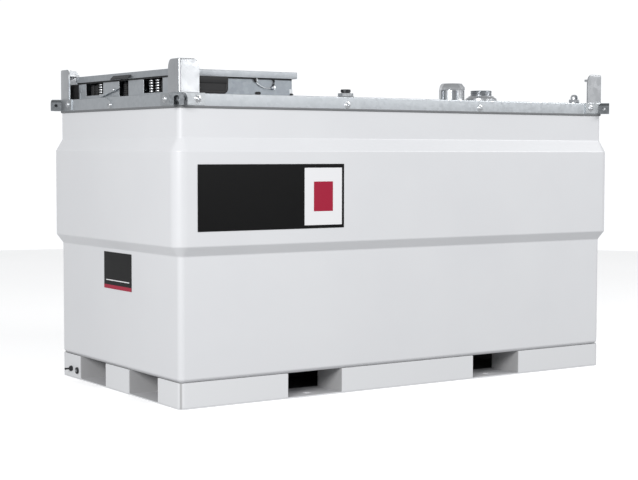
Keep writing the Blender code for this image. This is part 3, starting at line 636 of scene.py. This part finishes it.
for label, sign in (("front", -1), ("back", 1)):
    low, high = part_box(f"hose_boot_{label}")
    near, far = (high.y, low.y) if sign < 0 else (low.y, high.y)
    outer_box = (low.x, low.z, high.x, high.z)
    panel_box = (low.x + PANEL_START, low.z + PANEL_FOOT, high.x - PANEL_END, high.z - PANEL_BAND)

    def boot_ring(sides, radii, depth):
        """A ring of the boot seen from its side, given its sides and its four corner radii."""
        left, bottom, right, top = sides
        points = []
        for quarter, (x, z) in enumerate(((right, top), (left, top), (left, bottom), (right, bottom))):
            sign_x, sign_z = (1, -1, -1, 1)[quarter], (1, 1, -1, -1)[quarter]
            radius = radii[quarter]
            for step in range(7):
                turn = math.radians(90 * (quarter + step / 6))
                points.append(Vector((x - sign_x * radius + math.cos(turn) * radius, near + (far - near) * depth,
                                      z - sign_z * radius + math.sin(turn) * radius)))
        return points

    def drawn_in(sides, inset):
        """The same four sides, drawn in towards the middle."""
        left, bottom, right, top = sides
        return (left + inset, bottom + inset, right - inset, top - inset)

    stages = ((outer_box, 0.0, BOOT_CORNERS, 0.0), (outer_box, 0.0, BOOT_CORNERS, 0.97),
              (outer_box, 0.0014, BOOT_CORNERS, 0.992), (outer_box, 0.0040, BOOT_CORNERS, 1.0),
              (panel_box, -0.0014, PANEL_CORNERS, 1.0), (panel_box, 0.0, PANEL_CORNERS, 0.992),
              (panel_box, 0.0016, PANEL_CORNERS, 0.965))
    boot = bmesh.new()
    loft(boot, [boot_ring(drawn_in(sides, inset), radii, depth) for sides, inset, radii, depth in stages],
         first_cap=True, last_cap=True)
    fit(f"boot_moulding_{label}", boot, black_rubber, instead_of=(f"hose_boot_{label}",), sharp=40)

# A flat latch lever on the end wall turns on a stud. A stiff bent wire keeps it, hooked under the cover bolt below.
LEVER_TOP, LEVER_FOOT = (0.0245, 1.3075), (0.2165, 1.2740)
LEVER_PIVOT = 0.075
LEVER_HALF = (0.0042, 0.0060)
LEVER_X = (-1.1200, -1.1160)
KEEPER_WIRE = 0.0012

top, foot = Vector(LEVER_TOP), Vector(LEVER_FOOT)
along = (foot - top).normalized()
aside = Vector((-along.y, along.x))
outline = []
for centre, half, turns in ((top, LEVER_HALF[0], range(90, 271, 30)), (foot, LEVER_HALF[1], range(-90, 91, 30))):
    for turn in turns:
        bend = math.radians(turn)
        outline.append(centre + along * half * math.cos(bend) + aside * half * math.sin(bend))
lever = bmesh.new()
loft(lever, [[Vector((x, y, z)) for y, z in outline] for x in LEVER_X], first_cap=True, last_cap=True)
fit("lever_bar", lever, hot_dip_zinc, instead_of=("latch_lever",), ease=0.0008)

stud = bmesh.new()
pivot = top.lerp(foot, (LEVER_PIVOT - top.x) / (foot.x - top.x))
lathe(stud, [(0.0048, -0.0095), (0.0048, -0.0062), (0.0070, -0.0060), (0.0070, -0.0042), (0.0048, -0.0040),
             (0.0048, 0.0002), (0.0082, 0.0003), (0.0082, 0.0016), (0.0056, 0.0018), (0.0054, 0.0036), (0.0042, 0.0050),
             (0.0, 0.0052)], facing((LEVER_X[0], *pivot), (-1, 0, 0)), 24)
fit("lever_stud", stud, zinc_plate)

keeper = bmesh.new()
keeper_path = [(-1.1190, 0.150, 1.2852), (-1.1230, 0.149, 1.2800), (-1.1330, 0.128, 1.2690), (-1.1480, 0.104, 1.2675),
               (-1.1562, 0.084, 1.2640), (-1.1585, 0.066, 1.2580), (-1.1585, 0.046, 1.2520), (-1.1590, 0.032, 1.2475),
               (-1.1595, 0.030, 1.2420), (-1.1605, 0.037, 1.2365), (-1.1605, 0.044, 1.2330)]
rod(keeper, parted(keeper_path, 0.003), KEEPER_WIRE, 8)
fit("lever_keeper", keeper, hot_dip_zinc, sharp=60)

# The lid: 3 mm galvanised sheet with its four edges folded down, on two hinges, with a blackened lip to lift it by.
LID_LOW, LID_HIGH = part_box("cabinet_lid")
LID_SHEET = 0.003
lid_centre = ((LID_LOW.x + LID_HIGH.x) / 2, (LID_LOW.y + LID_HIGH.y) / 2)
half_x, half_y = (LID_HIGH.x - LID_LOW.x) / 2, (LID_HIGH.y - LID_LOW.y) / 2
edge = bent([(0.0, LID_LOW.z), (0.0, LID_HIGH.z), (-0.060, LID_HIGH.z)], 0.0025, 4)
inward = [Vector((-reach, LID_HIGH.z)) for reach in (0.12, 0.19, 0.285)]
lid_zinc = zinc("galvanised_lid_sheet", "galvanised_steel", "#b6bbc0", "#c9cdd1", 0.42, 15)
lid = bmesh.new()
loft(lid, [hoop(half_x + out, half_y + out, 0.004 + out, level, lid_centre, 4, (12, 18))
           for out, level in [*edge, *inward]], last_cap=True)
fit("lid_sheet", lid, lid_zinc, body="lid", instead_of=("cabinet_lid",), sharp=50, thick=LID_SHEET)

black_oxide = coat("blackened_steel", "blackened_steel", "#3a3b3d", 0.7, 0.45)
place = add(black_oxide, "ShaderNodeTexCoord")
wear = add(black_oxide, "ShaderNodeTexNoise", {"Scale": per_mm(18), "Detail": 5.0, "Roughness": 0.65},
           {"Vector": place.outputs["Object"]})
shade = add(black_oxide, "ShaderNodeMix", {"data_type": "RGBA", 6: linear("#2b2c2e"), 7: linear("#4a4b4d")},
            {0: wear.outputs["Fac"]})
gloss = add(black_oxide, "ShaderNodeMapRange", {"To Min": 0.38, "To Max": 0.56}, {"Value": wear.outputs["Fac"]})
feed(black_oxide, Base_Color=shade.outputs[2], Roughness=gloss.outputs["Result"])
eased_copy("lid_pull", black_oxide, 0.0006, body="lid")
for label in ("front", "back"):
    eased_copy(f"lid_hinge_{label}", hot_dip_zinc, 0.0005)

# Spring catches on the cabinet's sides: a bail of bright wire with a rubber sleeve and a steel ferrule where it
# passes under the lid, and a rubber strap, both ending at a plated knob on the wall.
BAIL = [(-0.737, 1.3375), (-0.7325, 1.3310), (-0.726, 1.3220), (-0.715, 1.3130), (-0.703, 1.3055), (-0.690, 1.3010),
        (-0.676, 1.2990), (-0.662, 1.2990), (-0.650, 1.3000)]
STRAP = [(-0.6695, 1.3375), (-0.6580, 1.3383), (-0.6485, 1.3376), (-0.6405, 1.3335), (-0.6375, 1.3260),
         (-0.6385, 1.3170), (-0.6415, 1.3080)]
BAIL_OUT = 0.0036
BAIL_WIRE = 0.0018
KNOB = (-0.642, 1.301)

for label, sign in (("front", -1), ("back", 1)):
    def beside(x, level, out=BAIL_OUT):
        """A spot beside the cabinet's side wall."""
        return Vector((x, sign * (CABINET_SIDE + out), level))

    wire = bmesh.new()
    rod(wire, [beside(*point) for point in BAIL], BAIL_WIRE)
    rod(wire, [beside(-0.7235, 1.3375), beside(-0.7215, 1.3260)], 0.0036, 12)
    lathe(wire, [(0.0, 0.0122), (0.0058, 0.0122), (0.0082, 0.0108), (0.0090, 0.0085), (0.0090, 0.0050),
                 (0.0078, 0.0036), (0.0052, 0.0030), (0.0050, 0.0003)], facing(beside(*KNOB, 0.0), (0, sign, 0)), 32)
    fit(f"catch_wire_{label}", wire, zinc_plate, instead_of=(f"lid_catch_{label}",), sharp=40)
    strap = bmesh.new()
    rod(strap, [beside(*point) for point in STRAP], [0.0026, 0.0030, 0.0032, 0.0034, 0.0034, 0.0030, 0.0024])
    rod(strap, [beside(*point) for point in BAIL[:3]], [0.0034, 0.0036, 0.0028])
    fit(f"catch_strap_{label}", strap, black_rubber, sharp=50)

# The fill port: a steel neck with a coarse male thread on a turned shoulder, welded into the cover, galvanised in a
# zinc darker than its shoulder's. Its mouth is closed by a recessed plug.
THREAD_PITCH = 0.0080
THREAD_DEPTH = 0.0022
low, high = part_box("fill_port")
THREAD_FROM, THREAD_TO = low.z + 0.0345, high.z - 0.0025


def thread(turn, radius, height):
    """Cuts the port's thread into the straight part of its neck."""
    if not THREAD_FROM < height < THREAD_TO:
        return radius
    phase = (height / THREAD_PITCH - turn / (2 * math.pi)) % 1.0
    fade = min(1.0, (height - THREAD_FROM) / 0.002, (THREAD_TO - height) / 0.002)
    return radius - THREAD_DEPTH * abs(2 * phase - 1) * fade


dull_zinc = zinc("darker_galvanised_castings", "galvanised_steel", "#8f9296", "#a9acb0", 0.36, 4)
cast_zinc = zinc("cast_galvanised_fittings", "galvanised_steel", "#b9bbbe", "#d0d2d4", 0.33, 6)
neck = [(0.0505, low.z + 0.0340 + step * 0.0008) for step in range(27)]
profile = [(0.0, high.z - 0.006), (0.036, high.z - 0.006), (0.0385, high.z - 0.001), (0.040, high.z), (0.0480, high.z),
           (0.0498, high.z - 0.0012), *reversed(neck), (0.0505, low.z + 0.0325)]
port = bmesh.new()
centre = Matrix.Translation(((low.x + high.x) / 2, (low.y + high.y) / 2, 0))
lathe(port, profile, centre, 96, lead=thread)
fit("fill_port_neck", port, dull_zinc, instead_of=("fill_port",), sharp=45)
shoulder = bmesh.new()
lathe(shoulder, [(0.0490, low.z + 0.0322), (0.0575, low.z + 0.0322), (0.0600, low.z + 0.0310), (0.0618, low.z + 0.0270),
                 (0.0634, low.z + 0.0258), (0.0728, low.z + 0.0205), (0.0745, low.z + 0.0185), (0.0745, low.z)], centre,
      72)
fit("fill_port_shoulder", shoulder, cast_zinc)

# The relief vent: a cast octagonal cap over a round body with six windows, through which a steel gauze shows. The
# gauze's darker zinc also stands for the shade inside the windows.
VENT_LOW, VENT_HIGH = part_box("relief_vent")
VENT_RIM = VENT_LOW.z + 0.0560
WINDOW_HALF = math.radians(13)
WINDOW_DEPTH = 0.016


def cast_vent(turn, radius, height):
    """Draws the cap out to an octagon and sinks the windows into the body under it."""
    if height > VENT_RIM:
        return radius * math.cos(math.pi / 8) / math.cos(turn % (math.pi / 4) - math.pi / 8)
    from_window = abs((turn - math.radians(34)) % (math.pi / 3) - math.pi / 6)
    if VENT_LOW.z + 0.011 < height < VENT_RIM - 0.0035 and from_window < WINDOW_HALF:
        return radius - WINDOW_DEPTH
    return radius


profile = [(0.0, VENT_HIGH.z), (0.0440, VENT_HIGH.z), (0.0462, VENT_HIGH.z - 0.0008), (0.0592, VENT_HIGH.z - 0.0175),
           (0.0600, VENT_HIGH.z - 0.0200), (0.0600, VENT_RIM + 0.0012), (0.0590, VENT_RIM + 0.0002),
           (0.0560, VENT_RIM - 0.0004), (0.0560, VENT_RIM - 0.0030), (0.0578, VENT_RIM - 0.0032),
           (0.0578, VENT_RIM - 0.0037), (0.0584, VENT_LOW.z + 0.0115), (0.0584, VENT_LOW.z + 0.0108),
           (0.0598, VENT_LOW.z + 0.0070), (0.0600, VENT_LOW.z)]
vent = bmesh.new()
centre = Matrix.Translation(((VENT_LOW.x + VENT_HIGH.x) / 2, (VENT_LOW.y + VENT_HIGH.y) / 2, 0))
lathe(vent, profile, centre, 120, lead=cast_vent)
fit("relief_vent_casting", vent, cast_zinc, instead_of=("relief_vent",), sharp=25)
# Painted shade: the gauze's darker zinc makes the windows read dark.
gauze = bmesh.new()
lathe(gauze, [(0.0490, VENT_LOW.z + 0.0100), (0.0490, VENT_RIM - 0.0020)], centre, 60)
fit("relief_vent_gauze", gauze, dull_zinc)

# The gauge plug and the vent dome: turned and plated, each with a hexagon to tighten it by. The plug's cap is
# blackened.
low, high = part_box("gauge_plug")
centre = Matrix.Translation(((low.x + high.x) / 2, (low.y + high.y) / 2, 0))
cap = bmesh.new()
lathe(cap, [(0.0, high.z - 0.0030), (0.0120, high.z - 0.0030), (0.0135, high.z), (0.0205, high.z),
            (0.0225, high.z - 0.0020), (0.0225, high.z - 0.0120), (0.0190, high.z - 0.0130), (0.0190, high.z - 0.0165)],
      centre, 72)
fit("gauge_plug_cap", cap, black_oxide, sharp=30)
plug = bmesh.new()
lathe(plug, [(0.0, high.z - 0.0166), (0.0290, high.z - 0.0168), (0.0300, high.z - 0.0180), (0.0300, high.z - 0.0300),
             (0.0350, high.z - 0.0305), (0.0430, high.z - 0.0345), (0.0450, high.z - 0.0370), (0.0450, low.z)],
      centre, 72, hexed=(1, 2, 3))
fit("gauge_plug_turned", plug, cast_zinc, instead_of=("gauge_plug",), sharp=30)
low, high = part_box("vent_dome")
dome = bmesh.new()
lathe(dome, [(0.0, high.z), (0.0060, high.z - 0.0006), (0.0115, high.z - 0.0030), (0.0155, high.z - 0.0075),
             (0.0178, high.z - 0.0135), (0.0180, high.z - 0.0200), (0.0165, high.z - 0.0205), (0.0165, high.z - 0.0235),
             (0.0215, high.z - 0.0237), (0.0221, high.z - 0.0245), (0.0221, high.z - 0.0360), (0.0255, high.z - 0.0365),
             (0.0255, low.z)],
      Matrix.Translation(((low.x + high.x) / 2, (low.y + high.y) / 2, 0)), 60, hexed=(8, 9, 10))
fit("vent_dome_turned", dome, zinc_plate, instead_of=("vent_dome",), sharp=30)

# The drains low on the end: a blackened collar round a bright hexagon plug, and a blackened valve with its spindle.
low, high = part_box("drain_plug")
centre = (high.x, (low.y + high.y) / 2, (low.z + high.z) / 2)
collar = bmesh.new()
lathe(collar, [(0.0, 0.0), (0.0150, 0.0), (0.0150, 0.0052), (0.0136, 0.0066), (0.0098, 0.0070), (0.0088, 0.0050),
               (0.0, 0.0048)], facing(centre, (-1, 0, 0)), 40)
fit("drain_collar", collar, black_oxide, instead_of=("drain_plug",))
hexagon = bmesh.new()
lathe(hexagon, [(0.0068, 0.0040), (0.0068, 0.0078), (0.0056, 0.0088), (0.0040, 0.0088), (0.0034, 0.0060),
                (0.0, 0.0060)], facing(centre, (-1, 0, 0)), 36, hexed=(0, 1))
fit("drain_hexagon", hexagon, cast_zinc)
low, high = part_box("drain_valve")
centre = (high.x, (low.y + high.y) / 2, (low.z + high.z) / 2)
valve = bmesh.new()
lathe(valve, [(0.0, 0.0), (0.0112, 0.0), (0.0112, 0.0085), (0.0102, 0.0095), (0.0085, 0.0100), (0.0085, 0.0125),
              (0.0050, 0.0140), (0.0042, 0.0150), (0.0042, 0.0310), (0.0050, 0.0320), (0.0050, 0.0345), (0.0, 0.0348)],
      facing(centre, (-1, 0, 0)), 36, hexed=(1, 2))
fit("drain_valve_turned", valve, black_oxide, instead_of=("drain_valve",))

# Vinyl labels on the belly and the end wall: plain fields of black, white and red, printed, cut to shape and pressed
# on by hand. They lie just clear of the waves that heat leaves in the sheet.
BELLY_FACE = SIDE_Y + BELLY_DEPTH
FRONT_LABEL = (-1.084, 0.714, -0.3775, 0.983)
FRONT_FIELD = (-0.577, 0.7275, -0.3890, 0.9670)
FRONT_BLOCK = (-0.5310, 0.7850, -0.4350, 0.9095)
END_LABEL = (-0.146, 0.441, 0.117, 0.600)
END_BAND = (-0.146, 0.441, 0.117, 0.4575)
END_FIELD = (-0.126, 0.476, 0.097, 0.480)
VINYL = 0.0004
VINYL_CORNER = 0.0015
LAMINATE_GLOSS = 0.18
LABEL_LIFT = CANNING * 1.7


def vinyl(name, colour):
    """Printed vinyl under a matt laminate: an even colour and a soft gloss with a few dull patches."""
    made = coat(name, "white_coating", colour, 0.0, 0.30)
    made.node_tree.nodes["Principled BSDF"].inputs["Specular IOR Level"].default_value = LAMINATE_GLOSS
    place = add(made, "ShaderNodeTexCoord")
    patches = add(made, "ShaderNodeTexNoise", {"Scale": per_mm(60), "Detail": 3.0}, {"Vector": place.outputs["Object"]})
    gloss = add(made, "ShaderNodeMapRange", {"To Min": 0.26, "To Max": 0.40}, {"Value": patches.outputs["Fac"]})
    feed(made, Roughness=gloss.outputs["Result"])
    return made


def field(shape, sides, layer, to_world):
    """A thin rectangle of vinyl on a wall; layer counts how many lie under it."""
    left, bottom, right, top = sides
    level = LABEL_LIFT + VINYL * layer
    middle = ((left + right) / 2, (bottom + top) / 2)
    cut = hoop((right - left) / 2, (top - bottom) / 2, VINYL_CORNER, 0.0, middle)
    rings = [[to_world(point.x, point.y, out) for point in cut]
             for out in (level - LABEL_LIFT if layer == 0 else level, level + VINYL)]
    loft(shape, rings, first_cap=True, last_cap=True)


def on_belly(u, v, out):
    return Vector((u, -BELLY_FACE - out, v))


def on_end(u, v, out):
    return Vector((-SIDE_X - out, u, v))


for name, colour, fields in (
        ("label_black", "#070708", ((FRONT_LABEL, 0, on_belly), (END_LABEL, 0, on_end))),
        ("label_white", "#e6e6e8", ((FRONT_FIELD, 1, on_belly), (END_FIELD, 1, on_end))),
        ("label_red", "#a0203a", ((FRONT_BLOCK, 2, on_belly), (END_BAND, 1, on_end)))):
    layer = bmesh.new()
    for sides, depth, to_world in fields:
        field(layer, sides, depth, to_world)
    fit(name, layer, vinyl(f"{name}_vinyl", colour))

# The studio: a pale floor that glows a little, as a lit table does, a white wall behind the tank, dimmer walls and
# ceiling elsewhere, one large softbox at the camera's left shoulder and two weaker ones for the metal to mirror.
CAMERA_SPOT = (-3.94318, -5.74265, 1.03773)
CAMERA_YAW, CAMERA_PITCH, CAMERA_ROLL = 33.7717, 3.45652, 0.1137
CAMERA_LENS = 83.35
WALL_LIGHT, FAR_WALL_LIGHT, CEILING_LIGHT = 0.50, 1.06, 0.50
FLOOR_GLOW = 0.38
FLOOR_RADIUS = 9.0

studio_floor = coat("studio_floor_acrylic", "floor", "#f8f8f8", 0.0, 0.9)
place = add(studio_floor, "ShaderNodeTexCoord")
mottle = add(studio_floor, "ShaderNodeTexNoise", {"Scale": 0.8, "Detail": 2.0}, {"Vector": place.outputs["Object"]})
tone = add(studio_floor, "ShaderNodeMix", {"data_type": "RGBA", 6: linear("#f6f6f6"), 7: linear("#fafafa")},
           {0: mottle.outputs["Fac"]})
feed(studio_floor, Base_Color=tone.outputs[2], Emission_Color=tone.outputs[2])
studio_floor.node_tree.nodes["Principled BSDF"].inputs["Emission Strength"].default_value = FLOOR_GLOW
ground = bmesh.new()
bmesh.ops.create_circle(ground, cap_ends=True, segments=96, radius=FLOOR_RADIUS)
mesh = bpy.data.meshes.new("studio_floor")
ground.to_mesh(mesh)
ground.free()
mesh.materials.append(studio_floor)
floor = bpy.data.objects.new("studio_floor", mesh)
floor.visible_diffuse = False
floor.visible_glossy = False
bpy.context.scene.collection.objects.link(floor)

sky = bpy.data.worlds.new("studio_light")
sky.use_nodes = True
ways = add(sky, "ShaderNodeTexCoord")
away = (math.sin(math.radians(CAMERA_YAW)), math.cos(math.radians(CAMERA_YAW)), 0)
behind = add(sky, "ShaderNodeVectorMath", {"operation": "DOT_PRODUCT", 1: away}, {0: ways.outputs["Generated"]})
far_wall = add(sky, "ShaderNodeMapRange", {"interpolation_type": "SMOOTHSTEP", "From Min": 0.50, "From Max": 0.86,
                                           "To Min": WALL_LIGHT, "To Max": FAR_WALL_LIGHT},
               {"Value": behind.outputs["Value"]})
upright = add(sky, "ShaderNodeSeparateXYZ", None, {"Vector": ways.outputs["Generated"]})
overhead = add(sky, "ShaderNodeMapRange", {"interpolation_type": "SMOOTHSTEP", "From Min": 0.10, "From Max": 0.55},
               {"Value": upright.outputs["Z"]})
strength = add(sky, "ShaderNodeMix", {"data_type": "FLOAT", 3: CEILING_LIGHT},
               {0: overhead.outputs["Result"], 2: far_wall.outputs["Result"]})
background = sky.node_tree.nodes["Background"]
background.inputs["Color"].default_value = (0.975, 0.985, 1.0, 1.0)
sky.node_tree.links.new(strength.outputs[0], background.inputs["Strength"])
bpy.context.scene.world = sky


def softbox(name, spot, aim, size, power):
    """A rectangular area light."""
    light = bpy.data.lights.new(name, "AREA")
    light.shape = "RECTANGLE"
    light.size, light.size_y = size
    light.energy = power
    made = bpy.data.objects.new(name, light)
    made.location = spot
    made.rotation_euler = (Vector(aim) - Vector(spot)).to_track_quat("-Z", "Y").to_euler()
    bpy.context.scene.collection.objects.link(made)


softbox("key_softbox", (-6.3, -4.4, 2.9), (-0.9, -0.4, 0.9), (2.6, 2.0), 370)
softbox("right_softbox", (5.0, -4.4, 4.0), (0.6, -0.5, 0.7), (3.0, 1.6), 190)
softbox("corner_iron_softbox", (2.1, -6.9, 1.9), (-1.0, -0.5, 1.3), (1.2, 1.2), 24)

camera = bpy.data.cameras.new("camera")
camera.lens = CAMERA_LENS
camera.sensor_width = 36
camera.sensor_fit = "HORIZONTAL"
camera.clip_end = 200
seen_from = bpy.data.objects.new("camera", camera)
seen_from.matrix_world = (Matrix.Translation(CAMERA_SPOT) @ Matrix.Rotation(math.radians(-CAMERA_YAW), 4, "Z")
                          @ Matrix.Rotation(math.radians(90 - CAMERA_PITCH), 4, "X")
                          @ Matrix.Rotation(math.radians(CAMERA_ROLL), 4, "Z"))
bpy.context.scene.collection.objects.link(seen_from)
bpy.context.scene.camera = seen_from
bpy.context.scene.view_settings.view_transform = "Standard"
